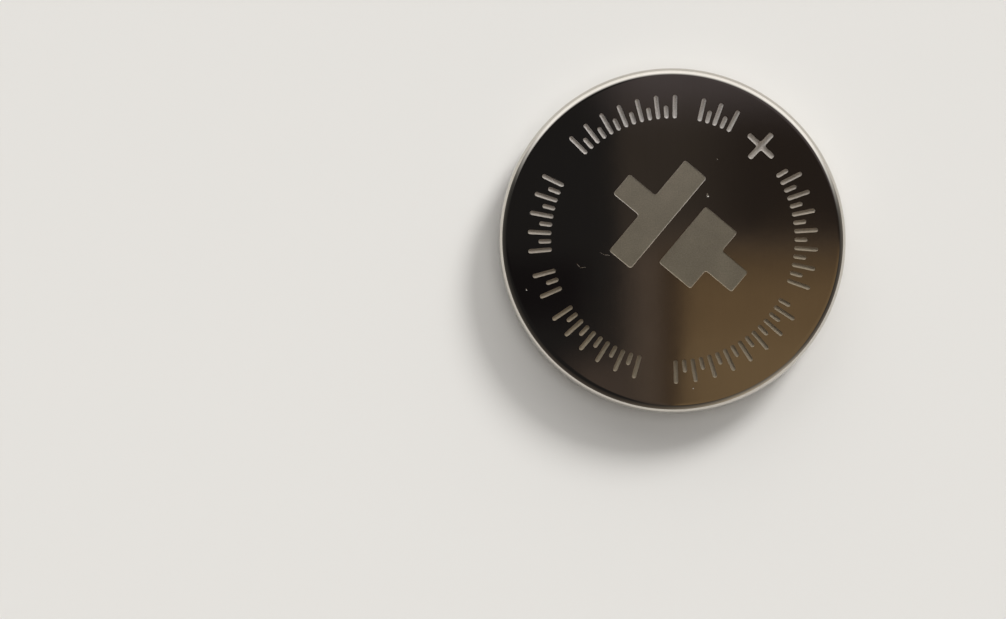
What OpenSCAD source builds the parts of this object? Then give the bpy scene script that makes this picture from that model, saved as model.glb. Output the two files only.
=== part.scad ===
// Lithium coin cell, lying on its negative contact with the positive face up.
// The origin is the centre of the negative contact, and +Z points out of the positive face.
// Every piece but the collector is a revolve of its own section, drawn with X as radius and Y as height.

/* [Cell] */
// Diameter over the positive can's wall
cell_d = 16; // [14:0.1:24]
// Height over the two contact faces
cell_h = 2; // [1.7:0.1:3.2]

/* [Positive can] */
// Thickness of the can's sheet
can_t = 0.2; // [0.17:0.01:0.24]
// Outer radius of the shoulder round the positive face
shoulder_r = 0.4; // [0.3:0.05:0.6]
// Outer radius of the crimp, where the wall is rolled in over the gasket
crimp_r = 0.55; // [0.45:0.05:0.7]
// Angle that the wall is rolled through
crimp_angle = 100; // [92:1:104]
// Straight length of the rolled lip past its bend
crimp_lip = 0.3; // [0.2:0.02:0.36]
// How far the crimp stays back from the plane of the negative contact
crimp_recess = 0.08; // [0.05:0.01:0.12]

/* [Negative cap] */
// Thickness of the cap's sheet
cap_t = 0.2; // [0.16:0.01:0.24]
// Inside radius of the cap's three bends
cap_bend = 0.06; // [0.04:0.01:0.08]
// Distance from the cell's edge to the flat negative contact
contact_inset = 1.6; // [1.5:0.05:2]

/* [Gasket] */
// Gasket between the crimp's bend and the cap's flange
gasket_nip = 0.12; // [0.1:0.01:0.2]
// Gasket between the cap's skirt and the can's wall
gasket_wall = 0.25; // [0.2:0.01:0.35]
// Gasket between the skirt's edge and the can's floor
gasket_floor = 0.25; // [0.15:0.01:0.35]
// Thickness of the collar inside the skirt
collar_t = 0.25; // [0.2:0.01:0.35]
// Height of that collar above the gasket's floor
collar_h = 0.35; // [0.2:0.05:0.5]
// Gap between the gasket's visible lip and the cap
lip_gap = 0.08; // [0.05:0.01:0.12]
// How far the visible lip stays back from the plane of the negative contact
lip_recess = 0.12; // [0.1:0.01:0.16]
// Rounding of the visible lip's edge
lip_round = 0.06; // [0.03:0.01:0.08]

/* [Contents] */
// Thickness of the separator felt
separator_t = 0.12; // [0.08:0.01:0.2]
// Gap between the separator's edge and the gasket's collar
separator_gap = 0.05; // [0.03:0.01:0.15]
// Gap between the lithium's edge and the cap's riser
lithium_gap = 0.25; // [0.15:0.05:0.6]
// Gap between the pellet's edge and the gasket's collar
cathode_gap = 0.6; // [0.4:0.05:1]
// Chamfer round the pressed pellet's edges
cathode_chamfer = 0.1; // [0.05:0.01:0.15]
// Thickness of the collector's expanded sheet
collector_t = 0.08; // [0.05:0.01:0.12]
// Distance from the pellet's edge to the collector's edge
collector_inset = 0.8; // [0.6:0.1:1.2]
// Long pitch of the collector's diamond mesh
mesh_pitch_x = 1.5; // [1.2:0.1:2]
// Short pitch of that mesh
mesh_pitch_y = 0.9; // [0.7:0.1:1.2]
// Width of the collector's strands
strand_w = 0.2; // [0.15:0.01:0.3]

/* [Hidden] */
$fn = 96;

// The can: its outer and inner wall, its floor under the positive face, and the middle of each bend.
cell_r = cell_d / 2;
can_in_r = cell_r - can_t;
can_floor_z = cell_h - can_t;
shoulder_at = [cell_r - shoulder_r, cell_h - shoulder_r];
crimp_at = [cell_r - crimp_r, crimp_recess + crimp_r];

// The cap: the flange lies under the crimp, and the skirt stands in the gasket's groove.
cap_bend_out = cap_bend + cap_t;
contact_r = cell_r - contact_inset;
riser_out_r = contact_r + cap_bend_out;
riser_in_r = contact_r + cap_bend;
flange_z = crimp_recess + can_t + gasket_nip;
flange_in_z = flange_z + cap_t;
skirt_out_r = can_in_r - gasket_wall;
skirt_in_r = skirt_out_r - cap_t;
skirt_end_z = can_floor_z - gasket_floor;
contact_bend_at = [contact_r, cap_bend_out];
riser_bend_at = [riser_out_r + cap_bend, flange_z - cap_bend];
skirt_bend_at = [skirt_out_r - cap_bend_out, flange_z + cap_bend_out];

// The gasket's collar and lip.
collar_r = skirt_in_r - collar_t;
collar_end_z = skirt_end_z - collar_h;
lip_r = riser_out_r + lip_gap;

// The contents, stacked from the cap to the can's floor.
// The lithium is as deep as the cap's well, so the separator lies on it and on the flange alike.
lithium_z = cap_t;
lithium_h = flange_in_z - cap_t;
lithium_r = riser_in_r - lithium_gap;
separator_z = flange_in_z;
separator_r = collar_r - separator_gap;
cathode_z = separator_z + separator_t;
collector_z = can_floor_z - collector_t;
cathode_h = collector_z - cathode_z;
cathode_r = collar_r - cathode_gap;
collector_r = cathode_r - collector_inset;

// A block of a section, given by its lowest and highest corner.
module block(low, high) {
    translate(low) square(high - low);
}

// Sheet of thickness out_r - in_r, bent round the point at from one angle to another.
module bend(at, in_r, out_r, from, to) {
    reach = 2 * out_r;
    translate(at) intersection() {
        difference() {
            circle(r = out_r);
            circle(r = in_r);
        }
        polygon([[0, 0], for (a = [from, (from + to) / 2, to]) reach * [cos(a), sin(a)]]);
    }
}

// The can's section: flat face, shoulder, wall, and the crimp that is rolled in over the gasket.
// The lip's outline has a point inside the bend, so that the two always fuse.
module can_section() {
    block([0, can_floor_z], [shoulder_at[0], cell_h]);
    bend(shoulder_at, shoulder_r - can_t, shoulder_r, 0, 90);
    block([can_in_r, crimp_at[1]], [cell_r, shoulder_at[1]]);
    bend(crimp_at, crimp_r - can_t, crimp_r, 0, -crimp_angle);
    translate(crimp_at) rotate(-crimp_angle) polygon([
        [crimp_r - can_t, 0],
        [crimp_r - can_t, -crimp_lip],
        [crimp_r, -crimp_lip],
        [crimp_r, 0],
        [crimp_r - can_t / 2, can_t / 2]
    ]);
}

// The cap's section: contact, riser, flange and skirt, with one bend between each two.
module cap_section() {
    block([0, 0], [contact_r, cap_t]);
    bend(contact_bend_at, cap_bend, cap_bend_out, -90, 0);
    block([riser_in_r, contact_bend_at[1]], [riser_out_r, riser_bend_at[1]]);
    bend(riser_bend_at, cap_bend, cap_bend_out, 90, 180);
    block([riser_bend_at[0], flange_z], [skirt_bend_at[0], flange_in_z]);
    bend(skirt_bend_at, cap_bend, cap_bend_out, -90, 0);
    block([skirt_in_r, skirt_bend_at[1]], [skirt_out_r, skirt_end_z]);
}

// The corner outside the crimp's bend.
module outside_crimp() {
    difference() {
        block([crimp_at[0], 0], [cell_r, crimp_at[1]]);
        translate(crimp_at) circle(r = crimp_r);
    }
}

// The space that the moulded ring is squeezed into, which the can and the cap then shape.
module gasket_blank() {
    block([collar_r, collar_end_z], [can_in_r, can_floor_z]);
    block([skirt_out_r - cap_t / 2, flange_z + cap_t / 2], [can_in_r, can_floor_z]);
    block([lip_r, lip_recess + lip_round], [can_in_r, flange_z + cap_t / 2]);
    block([lip_r + lip_round, lip_recess], [can_in_r, flange_z]);
    translate([lip_r + lip_round, lip_recess + lip_round]) circle(r = lip_round);
}

// The gasket's section: groove for the skirt, collar inside it, and the lip under the crimp.
module gasket_section() {
    difference() {
        gasket_blank();
        can_section();
        cap_section();
        outside_crimp();
    }
}

module positive_can() {
    color("silver") rotate_extrude() can_section();
}

module negative_cap() {
    color("gainsboro") rotate_extrude() cap_section();
}

module gasket() {
    color("dimgray") rotate_extrude() gasket_section();
}

// Pressed manganese dioxide, with chamfered edges so that it leaves its die whole.
module cathode_pellet() {
    face_r = cathode_r - cathode_chamfer;
    color("#1f1f21") translate([0, 0, cathode_z]) rotate_extrude() polygon([
        [0, 0],
        [face_r, 0],
        [cathode_r, cathode_chamfer],
        [cathode_r, cathode_h - cathode_chamfer],
        [face_r, cathode_h],
        [0, cathode_h]
    ]);
}

// One opening of the expanded sheet.
module diamond() {
    half_x = mesh_pitch_x / 2 - strand_w / 2;
    half_y = mesh_pitch_y / 2 - strand_w / 2;
    polygon([[half_x, 0], [0, half_y], [-half_x, 0], [0, -half_y]]);
}

// Expanded steel between the pellet and the can: rows of diamonds, every second row half a pitch across.
module collector_mesh() {
    reach = collector_r - mesh_pitch_x / 2;
    rows = floor(2 * reach / mesh_pitch_y);
    columns = floor(reach / mesh_pitch_x) + 1;
    color("darkgray") translate([0, 0, collector_z]) linear_extrude(collector_t) difference() {
        circle(r = collector_r);
        for (row = [-rows:rows], column = [-columns:columns]) {
            x = (column + (row % 2 == 0 ? 0 : 0.5)) * mesh_pitch_x;
            y = row * mesh_pitch_y / 2;
            if (norm([x, y]) < reach) translate([x, y]) diamond();
        }
    }
}

module separator() {
    color("white") translate([0, 0, separator_z]) cylinder(r = separator_r, h = separator_t);
}

module lithium_disc() {
    color("lightsteelblue") translate([0, 0, lithium_z]) cylinder(r = lithium_r, h = lithium_h);
}

positive_can();
negative_cap();
gasket();
cathode_pellet();
collector_mesh();
separator();
lithium_disc();
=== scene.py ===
"""Looks of a lithium coin cell, 16 mm across and 2 mm high, that lies with its positive face up."""

import math

import bmesh
import bpy
from mathutils import Matrix, Vector


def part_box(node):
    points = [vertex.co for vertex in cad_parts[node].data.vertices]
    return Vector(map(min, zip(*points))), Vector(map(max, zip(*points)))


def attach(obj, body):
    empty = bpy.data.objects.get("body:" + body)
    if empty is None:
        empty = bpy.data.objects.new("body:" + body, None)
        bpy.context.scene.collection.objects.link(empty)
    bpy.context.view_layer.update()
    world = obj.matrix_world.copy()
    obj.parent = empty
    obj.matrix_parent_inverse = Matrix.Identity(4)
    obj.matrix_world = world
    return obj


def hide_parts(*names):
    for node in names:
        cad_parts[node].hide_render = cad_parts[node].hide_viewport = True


MM = 0.001

# The photograph's frame, the cell's centre in it, and the scale at the positive face.
PHOTO_W_PX, PHOTO_H_PX = 1006, 619
CELL_AT_PX = (673.3, 238.3)
PX_PER_MM = 21.74
# The camera: how high it stands over the horizon, how far from the face, and how near and far it sees.
CAMERA_ELEVATION_DEG = 85.0
CAMERA_DISTANCE = 150 * MM
CAMERA_NEAR, CAMERA_FAR = 0.01, 20.0
# Width of the camera's sensor, in the millimetres that a lens is given in.
SENSOR_W = 36.0

# The sheet metal's sections, as the real one is pressed and rolled.
SHOULDER_R = 0.4 * MM
CRIMP_R = 0.55 * MM
CRIMP_ANGLE_DEG = 100.0
CRIMP_LIP = 0.3 * MM
CONTACT_INSET = 1.6 * MM
CAP_BEND_R = 0.06 * MM
GASKET_NIP = 0.12 * MM
COLLAR_T = 0.25 * MM
COLLAR_H = 0.35 * MM
LIP_GAP = 0.08 * MM
LIP_ROUND = 0.06 * MM
SHEARED_EDGE_R = 0.03 * MM

# Steps of a lathed piece: round the axis, in a bend of its section, in the gasket's lip, in a sheared edge.
TURNS = 256
BEND_STEPS, LIP_STEPS, EDGE_STEPS = 14, 5, 4
# Edges that turn further than this stay sharp.
SHARP_ANGLE = math.radians(32)
# Points this near the plane of the positive face count as on it.
FACE_TOLERANCE = 0.001 * MM

# The stamped marks: a ring of strokes, a plus sign in that ring, and an emblem in the middle.
# The draft is how far a mark's sides lean in from the face to its floor. A cutter starts above the face.
STROKE_DEPTH, STROKE_DRAFT = 0.022 * MM, 0.06 * MM
EMBLEM_DEPTH, EMBLEM_DRAFT = 0.02 * MM, 0.03 * MM
CUTTER_ABOVE = 0.02 * MM
STROKE_STEPS, CORNER_STEPS, NICK_STEPS = 6, 5, 4
RING_R = 6.15 * MM
STROKE_L, STROKE_W = 1.1 * MM, 0.2 * MM
STROKE_PITCH_DEG = 3.9
STROKE_GROUPS_DEG = ((-91, -28), (-22, 33), (61, 79), (87, 137), (152, 187), (193, 206), (212, 256))
SHORT_STROKE = 0.55
PLUS_AT_R, PLUS_AT_DEG = 5.93 * MM, 46.6
PLUS_SPAN, PLUS_W, PLUS_ROUND = 1.56 * MM, 0.25 * MM, 0.1 * MM
EMBLEM_AT = (0.12 * MM, 0.46 * MM)
EMBLEM_TURN_DEG = -40.0
EMBLEM_ROUND = 0.12 * MM
EMBLEM_GAP_HALF = 0.4 * MM
LEAD_L, LEAD_HALF = 1.55 * MM, 0.6 * MM
# The emblem's two plates: turn in degrees, thickness and half height.
PLATES = ((180, 1.3 * MM, 2.75 * MM), (0, 1.9 * MM, 1.7 * MM))

# Wear on the positive face. Each nick has x, y, length, width and depth in millimetres, and a turn.
NICKS_MM = (
    (1.62, 2.02, 0.17, 0.11, 0.03, 110),
    (-3.02, -0.76, 0.26, 0.045, 0.003, -8),
    (-3.28, -0.68, 0.22, 0.03, 0.002, -28),
    (-4.36, -1.24, 0.22, 0.045, 0.0035, -48),
    (-4.14, -1.33, 0.26, 0.035, 0.0025, 4),
    (2.07, 3.7, 0.07, 0.05, 0.004, 0),
    (0.9, -6.9, 0.07, 0.05, 0.01, 40),
    (-6.75, -2.35, 0.1, 0.06, 0.012, 110),
)

# Places of the can's finishes in its list of materials.
POLISHED, STRUCK, STRUCK_EMBLEM = range(3)


def linear(code):
    """The linear colour of an sRGB hex code."""
    parts = [int(code[i:i + 2], 16) / 255 for i in (1, 3, 5)]
    return (*(p / 12.92 if p <= 0.04045 else ((p + 0.055) / 1.055) ** 2.4 for p in parts), 1.0)


# Form

def arc(centre, radius, start, end, steps=BEND_STEPS):
    """Points of an arc of a section, from one angle to another, in degrees."""
    angles = [math.radians(start + (end - start) * i / steps) for i in range(steps + 1)]
    return [(centre[0] + radius * math.cos(a), centre[1] + radius * math.sin(a)) for a in angles]


def lathe(name, section, closed=False):
    """Revolves a section of (radius, height) points.

    An open section is closed by a flat face at each end.
    """
    bm = bmesh.new()
    rings = []
    for r, z in section:
        angles = [math.tau * i / TURNS for i in range(TURNS)]
        rings.append([bm.verts.new((r * math.cos(a), r * math.sin(a), z)) for a in angles])
    pairs = list(zip(rings, rings[1:] + rings[:1]))
    for low, high in pairs if closed else pairs[:-1]:
        for i in range(TURNS):
            j = (i + 1) % TURNS
            bm.faces.new((low[i], low[j], high[j], high[i]))
    if not closed:
        bm.faces.new(rings[0])
        bm.faces.new(rings[-1])
    bmesh.ops.recalc_face_normals(bm, faces=bm.faces)
    mesh = bpy.data.meshes.new(name)
    bm.to_mesh(mesh)
    bm.free()
    piece = bpy.data.objects.new(name, mesh)
    bpy.context.scene.collection.objects.link(piece)
    return piece


def smooth(piece):
    """Smooth shading with the true edges kept sharp."""
    piece.data.polygons.foreach_set("use_smooth", [True] * len(piece.data.polygons))
    piece.data.set_sharp_from_angle(angle=SHARP_ANGLE)


def keep_face_flat(piece):
    """Keeps the positive face flat up to the edge of each mark, however shallow the mark is."""
    points = [v.co for v in piece.data.vertices]
    reach = shoulder_at[0] - 2 * flat_ring
    on_face = [abs(p.z - cell_h) < FACE_TOLERANCE and p.xy.length < reach for p in points]
    for edge in piece.data.edges:
        if all(on_face[i] for i in edge.vertices):
            edge.use_edge_sharp = True


def can_lip():
    """The end of the rolled lip: its outer and its inner corner, and the way it runs."""
    end = math.radians(-CRIMP_ANGLE_DEG)
    along = Vector((math.sin(end), -math.cos(end)))
    out = Vector((math.cos(end), math.sin(end)))
    tip = Vector(crimp_at) + along * CRIMP_LIP
    return tip + out * CRIMP_R, tip + out * (CRIMP_R - sheet), along, out


def can_section():
    """From the rim of the flat face down the outside, round the lip and up the inside."""
    outer_tip, inner_tip, along, out = can_lip()
    edge = SHEARED_EDGE_R
    turn = math.degrees(math.atan2(out.y, out.x))
    outer_edge = arc(outer_tip - (along + out) * edge, edge, turn, turn - 90, EDGE_STEPS)
    inner_edge = arc(inner_tip + (out - along) * edge, edge, turn - 90, turn - 180, EDGE_STEPS)
    return [
        (shoulder_at[0] - flat_ring, cell_h),
        *arc(shoulder_at, SHOULDER_R, 90, 0),
        *arc(crimp_at, CRIMP_R, 0, -CRIMP_ANGLE_DEG),
        *outer_edge,
        *inner_edge,
        *arc(crimp_at, CRIMP_R - sheet, -CRIMP_ANGLE_DEG, 0),
        *arc(shoulder_at, SHOULDER_R - sheet, 0, 90),
        (shoulder_at[0] - flat_ring, cell_h - sheet),
    ]


def cap_section():
    """From the flat contact over the riser, the flange and the skirt, and back along the inside."""
    inner, outer = CAP_BEND_R, CAP_BEND_R + sheet
    contact_bend = (contact_r, outer)
    riser_bend = (contact_r + outer + inner, flange_z - inner)
    skirt_bend = (skirt_r - outer, flange_z + outer)
    return [
        (contact_r - flat_ring, 0),
        *arc(contact_bend, outer, -90, 0),
        *arc(riser_bend, inner, 180, 90),
        *arc(skirt_bend, outer, -90, 0),
        (skirt_r, skirt_end_z),
        (skirt_r - sheet, skirt_end_z),
        *arc(skirt_bend, inner, 0, -90),
        *arc(riser_bend, outer, 90, 180),
        *arc(contact_bend, inner, 0, -90),
        (contact_r - flat_ring, sheet),
    ]


def gasket_section():
    """The ring's closed section: the lip that shows, along the can, and back round the cap's skirt."""
    outer_tip, inner_tip, along, _ = can_lip()
    lip_bend = (lip_r + LIP_ROUND, lip_low + LIP_ROUND)
    meets_can = outer_tip - along * ((outer_tip.y - lip_low) / along.y)
    skirt_bend = (skirt_r - CAP_BEND_R - sheet, flange_z + CAP_BEND_R + sheet)
    collar_r = skirt_r - sheet - COLLAR_T
    return [
        *arc(lip_bend, LIP_ROUND, 180, 270, LIP_STEPS),
        tuple(meets_can),
        tuple(outer_tip),
        tuple(inner_tip),
        *arc(crimp_at, CRIMP_R - sheet, -CRIMP_ANGLE_DEG, 0),
        *arc(shoulder_at, SHOULDER_R - sheet, 0, 90),
        (collar_r, cell_h - sheet),
        (collar_r, skirt_end_z - COLLAR_H),
        (skirt_r - sheet, skirt_end_z - COLLAR_H),
        (skirt_r - sheet, skirt_end_z),
        (skirt_r, skirt_end_z),
        *arc(skirt_bend, CAP_BEND_R + sheet, 0, -90),
        (lip_r, flange_z),
    ]


def placed(outline, angle, centre):
    """An outline turned by an angle in degrees and moved to its place."""
    turn = Matrix.Rotation(math.radians(angle), 2)
    return [turn @ Vector(p) + Vector(centre) for p in outline]


def inset(outline, amount):
    """A counter-clockwise outline drawn in by amount on every side, or let out by a negative one."""
    made = []
    for before, at, after in zip(outline[-1:] + outline[:-1], outline, outline[1:] + outline[:1]):
        come, go = (at - before).normalized(), (after - at).normalized()
        left_in, left_out = Vector((-come.y, come.x)), Vector((-go.y, go.x))
        mitre = (left_in + left_out).normalized()
        made.append(at + mitre * amount / mitre.dot(left_in))
    return made


def rounded(corners, radius):
    """An outline of straight sides with its square corners rounded."""
    corners = [Vector(c) for c in corners]
    made = []
    for before, at, after in zip(corners[-1:] + corners[:-1], corners, corners[1:] + corners[:1]):
        come, go = (at - before).normalized(), (after - at).normalized()
        for i in range(CORNER_STEPS + 1):
            a = math.pi / 2 * i / CORNER_STEPS
            made.append(at + (go - come + come * math.sin(a) - go * math.cos(a)) * radius)
    return made


def stroke(length, width, steps=STROKE_STEPS):
    """A straight stroke with round ends along X, about its middle."""
    reach, radius = (length - width) / 2, width / 2
    return arc((reach, 0), radius, -90, 90, steps) + arc((-reach, 0), radius, 90, 270, steps)


def stroke_ring():
    """Groups of radial strokes, every second one short."""
    made = []
    for start, end in STROKE_GROUPS_DEG:
        count = round((end - start) / STROKE_PITCH_DEG)
        for i in range(count):
            angle = start + (i + 0.5) * (end - start) / count
            length = STROKE_L * (SHORT_STROKE if i % 2 else 1)
            r = RING_R - (STROKE_L - length) / 2
            at = (r * math.cos(math.radians(angle)), r * math.sin(math.radians(angle)))
            made.append(placed(stroke(length, STROKE_W), angle, at))
    return made


def plus_sign():
    """The sign of the positive pole."""
    reach, half = PLUS_SPAN / 2, PLUS_W / 2
    quarter = [(half, half), (half, reach), (-half, reach)]
    corners = []
    for i in range(4):
        corners += placed(quarter, 90 * i, (0, 0))
    turn = math.radians(PLUS_AT_DEG)
    at = (PLUS_AT_R * math.cos(turn), PLUS_AT_R * math.sin(turn))
    return placed(rounded(corners, PLUS_ROUND), PLUS_AT_DEG, at)


def cell_emblem():
    """The circuit sign of a cell in two broad pieces: a long plate and a short one, each on its lead."""
    made = []
    for turn, thick, half_h in PLATES:
        near, far = EMBLEM_GAP_HALF, EMBLEM_GAP_HALF + thick
        corners = [
            (near, -half_h),
            (far, -half_h),
            (far, -LEAD_HALF),
            (far + LEAD_L, -LEAD_HALF),
            (far + LEAD_L, LEAD_HALF),
            (far, LEAD_HALF),
            (far, half_h),
            (near, half_h),
        ]
        made.append(placed(rounded(corners, EMBLEM_ROUND), EMBLEM_TURN_DEG + turn, EMBLEM_AT))
    return made


def add_cutter(bm, outline, depth, draft, floor_finish, side_finish):
    """A closed block with sloped sides that leaves the outline in the positive face."""
    lifted = inset(outline, -draft * CUTTER_ABOVE / depth)
    sunk = inset(outline, draft)
    top = [bm.verts.new((p.x, p.y, cell_h + CUTTER_ABOVE)) for p in lifted]
    floor = [bm.verts.new((p.x, p.y, cell_h - depth)) for p in sunk]
    bm.faces.new(top)
    bm.faces.new(floor[::-1]).material_index = floor_finish
    for i in range(len(top)):
        j = (i + 1) % len(top)
        bm.faces.new((top[i], floor[i], floor[j], top[j])).material_index = side_finish


def stamp(piece, finishes):
    """Presses the marks and the nicks into the positive face."""
    bm = bmesh.new()
    for outline in [*stroke_ring(), plus_sign()]:
        add_cutter(bm, outline, STROKE_DEPTH, STROKE_DRAFT, STRUCK, STRUCK)
    for outline in cell_emblem():
        add_cutter(bm, outline, EMBLEM_DEPTH, EMBLEM_DRAFT, STRUCK_EMBLEM, STRUCK)
    for x, y, length, width, depth, turn in NICKS_MM:
        outline = placed(stroke(length * MM, width * MM, NICK_STEPS), turn, (x * MM, y * MM))
        add_cutter(bm, outline, depth * MM, width * MM / 3, STRUCK, POLISHED)
    mesh = bpy.data.meshes.new("stamps")
    bm.to_mesh(mesh)
    bm.free()
    for finish in finishes:
        mesh.materials.append(finish)
    stamps = bpy.data.objects.new("stamps", mesh)
    bpy.context.scene.collection.objects.link(stamps)
    cut = piece.modifiers.new("stamps", "BOOLEAN")
    cut.operation, cut.solver = "DIFFERENCE", "EXACT"
    cut.object, cut.material_mode = stamps, "TRANSFER"
    shaped = piece.evaluated_get(bpy.context.evaluated_depsgraph_get())
    made = bpy.data.meshes.new_from_object(shaped)
    piece.modifiers.clear()
    piece.data = made
    bpy.data.objects.remove(stamps)


# Finish

def add(tree, kind, inputs=None, **settings):
    """Adds a node with its settings, and its sockets' values or links.

    A socket goes by its name, or by its number where others share the name. On a Map Range, 1 and 2 are
    the range that comes in, and 3 and 4 the one that goes out. On a Mix, 0 is the factor, 2 and 3 are the
    two numbers, and 6 and 7 the two colours. The mixed number comes out at 0, and the mixed colour at 2.
    """
    made = tree.nodes.new(kind)
    for name, value in settings.items():
        setattr(made, name, value)
    for name, value in (inputs or {}).items():
        if isinstance(value, bpy.types.NodeSocket):
            tree.links.new(value, made.inputs[name])
        else:
            made.inputs[name].default_value = value
    return made


def set_ramp(ramp, stops):
    """Gives a colour ramp its stops, each a place and a linear colour."""
    elements = ramp.color_ramp.elements
    while len(elements) < len(stops):
        elements.new(1.0)
    for element, (place, colour) in zip(elements, stops):
        element.position = place
        element.color = colour


def new_material(name):
    """An empty node tree with a shader and a place in the object's own frame."""
    material = bpy.data.materials.new(name)
    material.use_nodes = True
    tree = material.node_tree
    shader = tree.nodes["Principled BSDF"]
    place = add(tree, "ShaderNodeTexCoord").outputs["Object"]
    return material, tree, shader, place


def nickel_plated_steel():
    """Bright nickel on polished steel: a mirror with a trace of orange peel and a thin film from handling.

    The flat face keeps the faint straight lines of the rolling mill, and the wall those of the drawing
    die. The real lines are some 10 micrometres apart. These are 120 apart, so that they show.
    """
    material, tree, shader, place = new_material("polished_nickel_plated_steel")
    shader.inputs["Metallic"].default_value = 1.0
    smears = add(tree, "ShaderNodeTexNoise", {"Vector": place, "Scale": 1 / (2.6 * MM), "Detail": 5.0})
    rough = add(tree, "ShaderNodeMapRange", {
        "Value": smears.outputs["Fac"], 1: 0.35, 2: 0.7, 3: 0.06, 4: 0.085,
    })
    tree.links.new(rough.outputs["Result"], shader.inputs["Roughness"])
    # Noise that is drawn out along Y makes the rolled lines, and along Z the drawn ones.
    ways = []
    for stretch in ((1.0, 0.04, 1.0), (1.0, 1.0, 0.05)):
        drag = add(tree, "ShaderNodeMapping", {"Vector": place, "Scale": stretch})
        ways.append(add(tree, "ShaderNodeTexNoise", {
            "Vector": drag.outputs[0], "Scale": 1 / (0.12 * MM), "Detail": 3.0,
        }))
    rolled, drawn = ways
    # Past the edge of the flat face, the drawn lines take over from the rolled ones and show more.
    flat = add(tree, "ShaderNodeVectorMath", {0: place, 1: (1.0, 1.0, 0.0)}, operation="MULTIPLY")
    reach = add(tree, "ShaderNodeVectorMath", {0: flat.outputs[0]}, operation="LENGTH").outputs["Value"]
    on_wall = add(tree, "ShaderNodeMapRange", {"Value": reach, 1: shoulder_at[0], 2: cell_r})
    contrast = add(tree, "ShaderNodeMapRange", {
        "Value": reach, 1: shoulder_at[0], 2: cell_r, 3: 0.15, 4: 0.5,
    })
    lines = add(tree, "ShaderNodeMix", {
        0: on_wall.outputs["Result"], 2: rolled.outputs["Fac"], 3: drawn.outputs["Fac"],
    }).outputs[0]
    streaks = add(tree, "ShaderNodeMapRange", {
        "Value": lines, 1: 0.35, 2: 0.65, 3: 0.0, 4: contrast.outputs["Result"],
    })
    smudges = add(tree, "ShaderNodeMapRange", {
        "Value": smears.outputs["Fac"], 1: 0.35, 2: 0.65, 3: 0.0, 4: 0.4,
    })
    film = add(tree, "ShaderNodeMath", {
        0: streaks.outputs["Result"], 1: smudges.outputs["Result"],
    }, operation="ADD")
    colour = add(tree, "ShaderNodeMix", {
        0: film.outputs[0], 6: linear("#d3cec6"), 7: linear("#c8c3bb"),
    }, data_type="RGBA")
    tree.links.new(colour.outputs[2], shader.inputs["Base Color"])
    peel = add(tree, "ShaderNodeTexNoise", {"Vector": place, "Scale": 1 / (1.1 * MM), "Detail": 2.0})
    waves = add(tree, "ShaderNodeBump", {
        "Height": peel.outputs["Fac"], "Distance": 0.0008 * MM, "Strength": 1.0,
    })
    grain = add(tree, "ShaderNodeBump", {
        "Height": lines, "Normal": waves.outputs[0], "Distance": 0.00006 * MM, "Strength": 1.0,
    })
    tree.links.new(grain.outputs[0], shader.inputs["Normal"])
    return material


def frosted_steel(name, upper, lower):
    """A stamp's floor: the same nickel, left matt and finely pitted by the die.

    The floor goes from the lower colour in the south to a paler upper one in the north: painted light and
    shade.
    """
    material, tree, shader, place = new_material(name)
    shader.inputs["Metallic"].default_value = 1.0
    shader.inputs["Roughness"].default_value = 0.58
    pits = add(tree, "ShaderNodeTexNoise", {"Vector": place, "Scale": 1 / (0.06 * MM), "Detail": 2.0})
    blotches = add(tree, "ShaderNodeTexNoise", {"Vector": place, "Scale": 1 / (1.3 * MM), "Detail": 3.0})
    # Painted light and shade: the floor's colour pales towards the north-north-west and darkens towards the
    # south.
    across = add(tree, "ShaderNodeVectorMath", {0: place, 1: (-0.2, 0.98, 0.0)}, operation="DOT_PRODUCT")
    painted_light_gradient = add(tree, "ShaderNodeMapRange", {"Value": across.outputs["Value"], 1: -2 * MM, 2: 6 * MM})
    tone = add(tree, "ShaderNodeMix", {
        0: painted_light_gradient.outputs["Result"], 6: linear(lower), 7: linear(upper),
    }, data_type="RGBA")
    grain = add(tree, "ShaderNodeMapRange", {
        "Value": pits.outputs["Fac"], 1: 0.3, 2: 0.7, 3: 0.86, 4: 1.1,
    })
    blotch = add(tree, "ShaderNodeMapRange", {
        "Value": blotches.outputs["Fac"], 1: 0.3, 2: 0.7, 3: 0.9, 4: 1.08,
    })
    shade = add(tree, "ShaderNodeMath", {
        0: grain.outputs["Result"], 1: blotch.outputs["Result"],
    }, operation="MULTIPLY")
    shaded = add(tree, "ShaderNodeVectorMath", {
        0: tone.outputs[2], "Scale": shade.outputs[0],
    }, operation="SCALE")
    tree.links.new(shaded.outputs[0], shader.inputs["Base Color"])
    bump = add(tree, "ShaderNodeBump", {
        "Height": pits.outputs["Fac"], "Distance": 0.004 * MM, "Strength": 0.6,
    })
    tree.links.new(bump.outputs[0], shader.inputs["Normal"])
    return material


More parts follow.
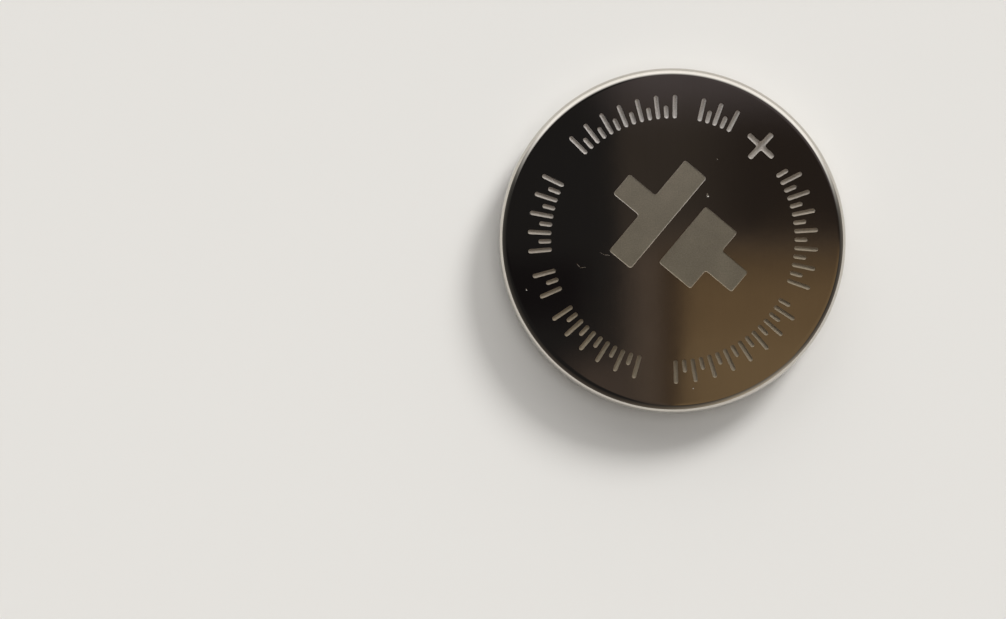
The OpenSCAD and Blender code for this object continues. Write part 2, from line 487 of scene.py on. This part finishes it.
def satin_steel():
    """The pressed cap: satin nickel-plated sheet, with the concentric rub of its die and a faint cloud.

    The real rub is some 20 micrometres from line to line. These lines are 90 apart, so that they show.
    """
    material, tree, shader, place = new_material("satin_pressed_steel")
    shader.inputs["Metallic"].default_value = 1.0
    flat = add(tree, "ShaderNodeVectorMath", {0: place, 1: (1.0, 1.0, 0.0)}, operation="MULTIPLY")
    reach = add(tree, "ShaderNodeVectorMath", {0: flat.outputs[0]}, operation="LENGTH")
    rub = add(tree, "ShaderNodeTexNoise", {
        "W": reach.outputs["Value"], "Scale": 1 / (0.09 * MM), "Detail": 2.0,
    }, noise_dimensions="1D")
    cloud = add(tree, "ShaderNodeTexNoise", {"Vector": place, "Scale": 1 / (2.4 * MM), "Detail": 4.0})
    film = add(tree, "ShaderNodeMath", {0: rub.outputs["Fac"], 1: cloud.outputs["Fac"]}, operation="ADD")
    worn = add(tree, "ShaderNodeMapRange", {"Value": film.outputs[0], 1: 0.75, 2: 1.25})
    colour = add(tree, "ShaderNodeMix", {
        0: worn.outputs["Result"], 6: linear("#cdc9c1"), 7: linear("#c1bdb5"),
    }, data_type="RGBA")
    tree.links.new(colour.outputs[2], shader.inputs["Base Color"])
    rough = add(tree, "ShaderNodeMapRange", {
        "Value": cloud.outputs["Fac"], 1: 0.3, 2: 0.7, 3: 0.25, 4: 0.36,
    })
    tree.links.new(rough.outputs["Result"], shader.inputs["Roughness"])
    bump = add(tree, "ShaderNodeBump", {
        "Height": rub.outputs["Fac"], "Distance": 0.0008 * MM, "Strength": 0.6,
    })
    tree.links.new(bump.outputs[0], shader.inputs["Normal"])
    return material


def moulded_polypropylene():
    """The gasket: dark polypropylene with a film of sealant, softly shiny with a faint mottle."""
    material, tree, shader, place = new_material("moulded_polypropylene")
    shader.inputs["Roughness"].default_value = 0.42
    shader.inputs["IOR"].default_value = 1.49
    mottle = add(tree, "ShaderNodeTexNoise", {"Vector": place, "Scale": 1 / (0.5 * MM), "Detail": 4.0})
    tone = add(tree, "ShaderNodeValToRGB", {"Fac": mottle.outputs["Fac"]})
    set_ramp(tone, [(0.3, linear("#26262a")), (0.7, linear("#38383c"))])
    tree.links.new(tone.outputs["Color"], shader.inputs["Base Color"])
    bump = add(tree, "ShaderNodeBump", {
        "Height": mottle.outputs["Fac"], "Distance": 0.004 * MM, "Strength": 0.4,
    })
    tree.links.new(bump.outputs[0], shader.inputs["Normal"])
    return material


def pressed_powder():
    """The cathode: manganese dioxide pressed with carbon, dead black with a fine grain."""
    material, tree, shader, place = new_material("pressed_manganese_dioxide")
    shader.inputs["Roughness"].default_value = 0.85
    grains = add(tree, "ShaderNodeTexVoronoi", {"Vector": place, "Scale": 1 / (0.09 * MM)})
    tone = add(tree, "ShaderNodeValToRGB", {"Fac": grains.outputs["Distance"]})
    set_ramp(tone, [(0.0, linear("#1a1a1c")), (0.9, linear("#2b2a2b"))])
    tree.links.new(tone.outputs["Color"], shader.inputs["Base Color"])
    bump = add(tree, "ShaderNodeBump", {"Height": grains.outputs["Distance"], "Distance": 0.02 * MM})
    tree.links.new(bump.outputs[0], shader.inputs["Normal"])
    return material


def expanded_steel():
    """The collector: slit and stretched stainless sheet, dull on its strands."""
    material, tree, shader, place = new_material("expanded_stainless_steel")
    shader.inputs["Base Color"].default_value = linear("#b5b4b0")
    shader.inputs["Metallic"].default_value = 1.0
    drag = add(tree, "ShaderNodeMapping", {"Vector": place, "Scale": (0.1, 1.0, 1.0)})
    marks = add(tree, "ShaderNodeTexNoise", {
        "Vector": drag.outputs[0], "Scale": 1 / (0.05 * MM), "Detail": 3.0,
    })
    rough = add(tree, "ShaderNodeMapRange", {
        "Value": marks.outputs["Fac"], 1: 0.3, 2: 0.7, 3: 0.28, 4: 0.46,
    })
    tree.links.new(rough.outputs["Result"], shader.inputs["Roughness"])
    return material


def unwoven_felt():
    """The separator: matted polypropylene fibres, white with soft hollows between them."""
    material, tree, shader, place = new_material("unwoven_polypropylene_felt")
    shader.inputs["Roughness"].default_value = 0.9
    heights = 0.0
    for turn in (20, 80, 140):
        lay = add(tree, "ShaderNodeMapping", {
            "Vector": place, "Rotation": (0, 0, math.radians(turn)), "Scale": (0.08, 1.0, 1.0),
        })
        fibre = add(tree, "ShaderNodeTexNoise", {
            "Vector": lay.outputs[0], "Scale": 1 / (0.06 * MM), "Detail": 2.0,
        })
        heights = add(tree, "ShaderNodeMath", {
            0: heights, 1: fibre.outputs["Fac"],
        }, operation="MAXIMUM").outputs[0]
    tone = add(tree, "ShaderNodeValToRGB", {"Fac": heights})
    set_ramp(tone, [(0.45, linear("#d9d8d2")), (0.75, linear("#f3f2ee"))])
    tree.links.new(tone.outputs["Color"], shader.inputs["Base Color"])
    bump = add(tree, "ShaderNodeBump", {"Height": heights, "Distance": 0.03 * MM})
    tree.links.new(bump.outputs[0], shader.inputs["Normal"])
    return material


def rolled_lithium():
    """The anode: soft lithium strip, silver with roll lines and grey where it has begun to dull."""
    material, tree, shader, place = new_material("rolled_lithium")
    shader.inputs["Metallic"].default_value = 1.0
    shader.inputs["Roughness"].default_value = 0.38
    dull = add(tree, "ShaderNodeTexNoise", {"Vector": place, "Scale": 1 / (1.8 * MM), "Detail": 4.0})
    tone = add(tree, "ShaderNodeValToRGB", {"Fac": dull.outputs["Fac"]})
    set_ramp(tone, [(0.35, linear("#a9adb2")), (0.65, linear("#cdd0d4"))])
    tree.links.new(tone.outputs["Color"], shader.inputs["Base Color"])
    drawn = add(tree, "ShaderNodeMapping", {"Vector": place, "Scale": (1.0, 0.03, 1.0)})
    lines = add(tree, "ShaderNodeTexNoise", {
        "Vector": drawn.outputs[0], "Scale": 1 / (0.08 * MM), "Detail": 2.0,
    })
    bump = add(tree, "ShaderNodeBump", {
        "Height": lines.outputs["Fac"], "Distance": 0.004 * MM, "Strength": 0.6,
    })
    tree.links.new(bump.outputs[0], shader.inputs["Normal"])
    return material


# Stage

def make_camera():
    """Looks down on the positive face from where the photograph was taken."""
    aim = Vector((
        (PHOTO_W_PX / 2 - CELL_AT_PX[0]) / PX_PER_MM * MM,
        (CELL_AT_PX[1] - PHOTO_H_PX / 2) / PX_PER_MM * MM,
        cell_h,
    ))
    turn = math.radians(CAMERA_ELEVATION_DEG)
    back = Vector((0, -math.cos(turn), math.sin(turn)))
    data = bpy.data.cameras.new("camera")
    data.sensor_width = SENSOR_W
    data.lens = SENSOR_W * CAMERA_DISTANCE / (PHOTO_W_PX / PX_PER_MM * MM)
    data.clip_start, data.clip_end = CAMERA_NEAR, CAMERA_FAR
    camera = bpy.data.objects.new("camera", data)
    camera.location = aim + back * CAMERA_DISTANCE
    camera.rotation_euler = back.to_track_quat("Z", "Y").to_euler()
    bpy.context.scene.collection.objects.link(camera)
    bpy.context.scene.camera = camera
    return camera


# The floor's side in metres, and how far it lies below the contact, so that the two don't share a plane.
FLOOR_SIDE, FLOOR_BELOW = 2.4, 0.01 * MM


def make_floor():
    """A plain pale floor of matt paper, with no gloss of its own."""
    bpy.ops.mesh.primitive_plane_add(size=FLOOR_SIDE, location=(0, 0, -FLOOR_BELOW))
    floor = bpy.context.object
    floor.name = "floor"
    material, _, shader, _ = new_material("matt_paper")
    shader.inputs["Base Color"].default_value = linear("#e6e4e0")
    shader.inputs["Roughness"].default_value = 1.0
    shader.inputs["Specular IOR Level"].default_value = 0.0
    floor.data.materials.append(material)


# The room that the steel mirrors. Each colour is what polished steel shows where it mirrors that part.
STEEL_REFLECTANCE = 0.6
# The walls round the cell, in degrees from +X: dim to the west, with a lamp's glow to the south-east.
WALL_COLOURS = (
    (-180, "#3a3836"), (-110, "#433d38"), (-90, "#5a534b"), (-62, "#9d9486"), (-45, "#9c958b"),
    (-30, "#6c665f"), (-15, "#544f4a"), (5, "#5a5752"), (30, "#797772"), (45, "#8e8c88"),
    (120, "#8e8c88"), (155, "#42413f"), (180, "#3a3836"),
)
# The pale sweep that the floor runs up into all round, and the sines of the heights over which it ends.
SWEEP = "#b6b4b0"
SWEEP_END = (0.07, 0.13)
# How much of a wall's colour there is, by the sine of the height at which it stands over the cell.
WALL_SHARE = ((0.17, 1.0), (0.36, 0.75), (0.6, 0.48), (0.79, 0.26), (0.94, 0.0))
# The bright window to the north: its middle, half its width, and the angle over which each side fades.
WINDOW_MIDDLE, WINDOW_HALF, WINDOW_FADE = math.radians(84), math.radians(56), math.radians(26)
# How much of the window's light there is, by the sine of the height.
WINDOW_SHARE = (
    (0.07, 0.0), (0.14, 0.74), (0.35, 0.74), (0.56, 1.0), (0.68, 0.95), (0.82, 0.45), (0.95, 0.0),
)
WINDOW_STRENGTH = 1.24
# The ceiling, as patches laid over each other. Each has a colour and its edges. An edge has the axis that
# it lies across, and the millimetres of the face over which its mirror image comes in.
CEILING = "#191818"
CEILING_PATCHES = (
    ("#100e0f", ("X", -3.4, -4.6), ("Y", -0.3, -1.6), ("Y", -4.6, -3.2)),
    ("#433a33", ("X", -3.0, -1.2)),
    ("#2d2824", ("X", -3.0, -1.5), ("Y", -1.5, 1.5)),
    ("#32281f", ("X", -1.0, -0.2), ("Y", 0.5, -1.5)),
    ("#201b18", ("X", 0.0, 4.0), ("Y", -0.8, 0.9)),
    ("#584834", ("X", 0.2, 0.8), ("Y", 0.6, -2.8)),
    ("#403b3c", ("X", -4.5, -1.5), ("Y", 4.8, 7.8)),
    ("#5f4f3a", ("X", 0.2, 0.8), ("Y", -3.8, -5.6)),
    ("#3b332e", ("X", -1.6, -2.6), ("X", -6.0, -3.6), ("Y", -4.6, -6.6)),
)
# The card that carries it: its height over the face, and how far it reaches, less far to the north.
CEILING_ABOVE = 70 * MM
CEILING_SIDE, CEILING_NORTH = 32 * MM, 21 * MM


def make_ceiling(camera):
    """The dim ceiling close over the cell. Only what mirrors it sees it, and it casts no shadow.

    From the camera, each point of the face mirrors the point of the card that has its X and Y.
    """
    away = CEILING_ABOVE / (camera.location.z - cell_h)
    side, north = CEILING_SIDE, CEILING_NORTH
    mesh = bpy.data.meshes.new("ceiling")
    corners = [(-side, -side, 0), (side, -side, 0), (side, north, 0), (-side, north, 0)]
    mesh.from_pydata(corners, [], [(0, 1, 2, 3)])
    card = bpy.data.objects.new("ceiling", mesh)
    card.location = (-camera.location.x * away, -camera.location.y * away, cell_h + CEILING_ABOVE)
    card.scale = (1 + away, 1 + away, 1)
    bpy.context.scene.collection.objects.link(card)
    card.visible_camera = card.visible_diffuse = card.visible_transmission = False
    card.visible_volume_scatter = card.visible_shadow = False
    material = bpy.data.materials.new("dim_ceiling")
    material.use_nodes = True
    tree = material.node_tree
    tree.nodes.clear()
    place = add(tree, "ShaderNodeTexCoord").outputs["Object"]
    split = add(tree, "ShaderNodeSeparateXYZ", {"Vector": place})
    colour = linear(CEILING)
    for code, *edges in CEILING_PATCHES:
        cover = 1.0
        for axis, start, end in edges:
            cover = add(tree, "ShaderNodeMapRange", {
                "Value": split.outputs[axis], 1: start * MM, 2: end * MM, 3: 0.0, 4: cover,
            }, interpolation_type="SMOOTHSTEP").outputs["Result"]
        colour = add(tree, "ShaderNodeMix", {
            0: cover, 6: colour, 7: linear(code),
        }, data_type="RGBA").outputs[2]
    light = add(tree, "ShaderNodeEmission", {"Color": colour, "Strength": 1 / STEEL_REFLECTANCE})
    add(tree, "ShaderNodeOutputMaterial", {"Surface": light.outputs[0]})
    mesh.materials.append(material)


def make_room():
    """Plain soft light from a room with one window."""
    world = bpy.data.worlds.new("room")
    bpy.context.scene.world = world
    world.use_nodes = True
    tree = world.node_tree
    tree.nodes.clear()
    way = add(tree, "ShaderNodeTexCoord").outputs["Generated"]
    split = add(tree, "ShaderNodeSeparateXYZ", {"Vector": way})
    turn = add(tree, "ShaderNodeMath", {
        0: split.outputs["Y"], 1: split.outputs["X"],
    }, operation="ARCTAN2")
    part = add(tree, "ShaderNodeMapRange", {"Value": turn.outputs[0], 1: -math.pi, 2: math.pi})
    walls = add(tree, "ShaderNodeValToRGB", {"Fac": part.outputs["Result"]})
    set_ramp(walls, [((degrees + 180) / 360, linear(code)) for degrees, code in WALL_COLOURS])
    shares = []
    for steps in (WALL_SHARE, WINDOW_SHARE):
        ramp = add(tree, "ShaderNodeValToRGB", {"Fac": split.outputs["Z"]})
        set_ramp(ramp, [(sine, (share, share, share, 1.0)) for sine, share in steps])
        shares.append(ramp.outputs["Color"])
    wall_share, window_share = shares
    room = add(tree, "ShaderNodeMix", {
        0: wall_share, 6: linear(CEILING), 7: walls.outputs["Color"],
    }, data_type="RGBA")
    low_down = add(tree, "ShaderNodeMapRange", {
        "Value": split.outputs["Z"], 1: SWEEP_END[0], 2: SWEEP_END[1], 3: 1.0, 4: 0.0,
    }, interpolation_type="SMOOTHSTEP")
    room = add(tree, "ShaderNodeMix", {
        0: low_down.outputs["Result"], 6: room.outputs[2], 7: linear(SWEEP),
    }, data_type="RGBA")
    glow = add(tree, "ShaderNodeBackground", {
        "Color": room.outputs[2], "Strength": 1 / STEEL_REFLECTANCE,
    })
    off = add(tree, "ShaderNodeMath", {0: turn.outputs[0], 1: WINDOW_MIDDLE}, operation="SUBTRACT")
    beside = add(tree, "ShaderNodeMath", {0: off.outputs[0]}, operation="ABSOLUTE")
    ends, begins = WINDOW_HALF + WINDOW_FADE / 2, WINDOW_HALF - WINDOW_FADE / 2
    strength = add(tree, "ShaderNodeMapRange", {
        "Value": beside.outputs[0], 1: ends, 2: begins, 3: 0.0, 4: WINDOW_STRENGTH,
    }, interpolation_type="SMOOTHSTEP")
    window = add(tree, "ShaderNodeBackground", {
        "Color": window_share, "Strength": strength.outputs["Result"],
    })
    both = add(tree, "ShaderNodeAddShader", {0: glow.outputs[0], 1: window.outputs[0]})
    add(tree, "ShaderNodeOutputWorld", {"Surface": both.outputs[0]})


def make_lamp(name, way, width, strength):
    """A soft lamp so far off that it lights the whole floor alike. The steel mirrors the room alone.

    The way points from the cell to the lamp, and the width is in degrees of the sky.
    """
    data = bpy.data.lights.new(name, "SUN")
    data.angle, data.energy = math.radians(width), strength
    lamp = bpy.data.objects.new(name, data)
    lamp.rotation_euler = Vector(way).to_track_quat("Z", "Y").to_euler()
    lamp.visible_glossy = False
    bpy.context.scene.collection.objects.link(lamp)


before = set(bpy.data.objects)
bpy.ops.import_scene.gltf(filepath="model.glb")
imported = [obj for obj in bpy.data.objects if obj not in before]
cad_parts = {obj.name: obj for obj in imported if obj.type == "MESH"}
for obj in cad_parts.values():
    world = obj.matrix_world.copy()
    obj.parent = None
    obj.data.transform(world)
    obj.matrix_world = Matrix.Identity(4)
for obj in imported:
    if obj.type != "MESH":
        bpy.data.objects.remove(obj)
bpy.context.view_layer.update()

# Sizes that the frame gives, to the nearest 0.01 mm.
can_low, can_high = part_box("positive_can")
cap_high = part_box("negative_cap")[1]
gasket_low, gasket_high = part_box("gasket")
cell_r, cell_h = round(can_high.y, 5), round(can_high.z, 5)
sheet = round(cell_h - gasket_high.z, 5)
skirt_r, skirt_end_z = round(cap_high.y, 5), round(cap_high.z, 5)
lip_low = round(gasket_low.z, 5)
crimp_low = round(can_low.z, 5)
shoulder_at = (cell_r - SHOULDER_R, cell_h - SHOULDER_R)
crimp_at = (cell_r - CRIMP_R, crimp_low + CRIMP_R)
contact_r = cell_r - CONTACT_INSET
flange_z = crimp_low + sheet + GASKET_NIP
lip_r = contact_r + CAP_BEND_R + sheet + LIP_GAP
# A narrow flat ring between a flat face and its bend keeps the bend's soft shading off the face.
flat_ring = sheet / 4

polished = nickel_plated_steel()
# Each finish's two colours are the ends of painted light and shade across the marks: the paler lit, to the
# north.
struck_strokes = frosted_steel("frosted_steel_of_strokes", "#f1ece8", "#b5a995")
struck_emblem = frosted_steel("frosted_steel_of_emblem", "#c2baab", "#b7af9d")

can = lathe("can_shell", can_section())
can.data.materials.append(polished)
stamp(can, (polished, struck_strokes, struck_emblem))
cap = lathe("cap_shell", cap_section())
cap.data.materials.append(satin_steel())
ring = lathe("gasket_ring", gasket_section(), closed=True)
ring.data.materials.append(moulded_polypropylene())

for piece, node, slot in (
    (can, "positive_can", "can_steel"),
    (cap, "negative_cap", "cap_steel"),
    (ring, "gasket", "gasket_polypropylene"),
):
    smooth(piece)
    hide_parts(node)
    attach(piece, "root")

keep_face_flat(can)

# The contents keep their own solids and take a finish.
for node, material in (
    ("cathode_pellet", pressed_powder()),
    ("collector_mesh", expanded_steel()),
    ("separator", unwoven_felt()),
    ("lithium_disc", rolled_lithium()),
):
    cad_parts[node].data.materials.clear()
    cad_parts[node].data.materials.append(material)

camera = make_camera()
make_floor()
make_ceiling(camera)
make_room()
make_lamp("fill", way=(0.08, -0.08, 1.0), width=45.0, strength=0.86)
make_lamp("key", way=(1.0, 1.3, 1.0), width=18.0, strength=2.22)

bpy.context.scene.view_settings.view_transform = "Standard"
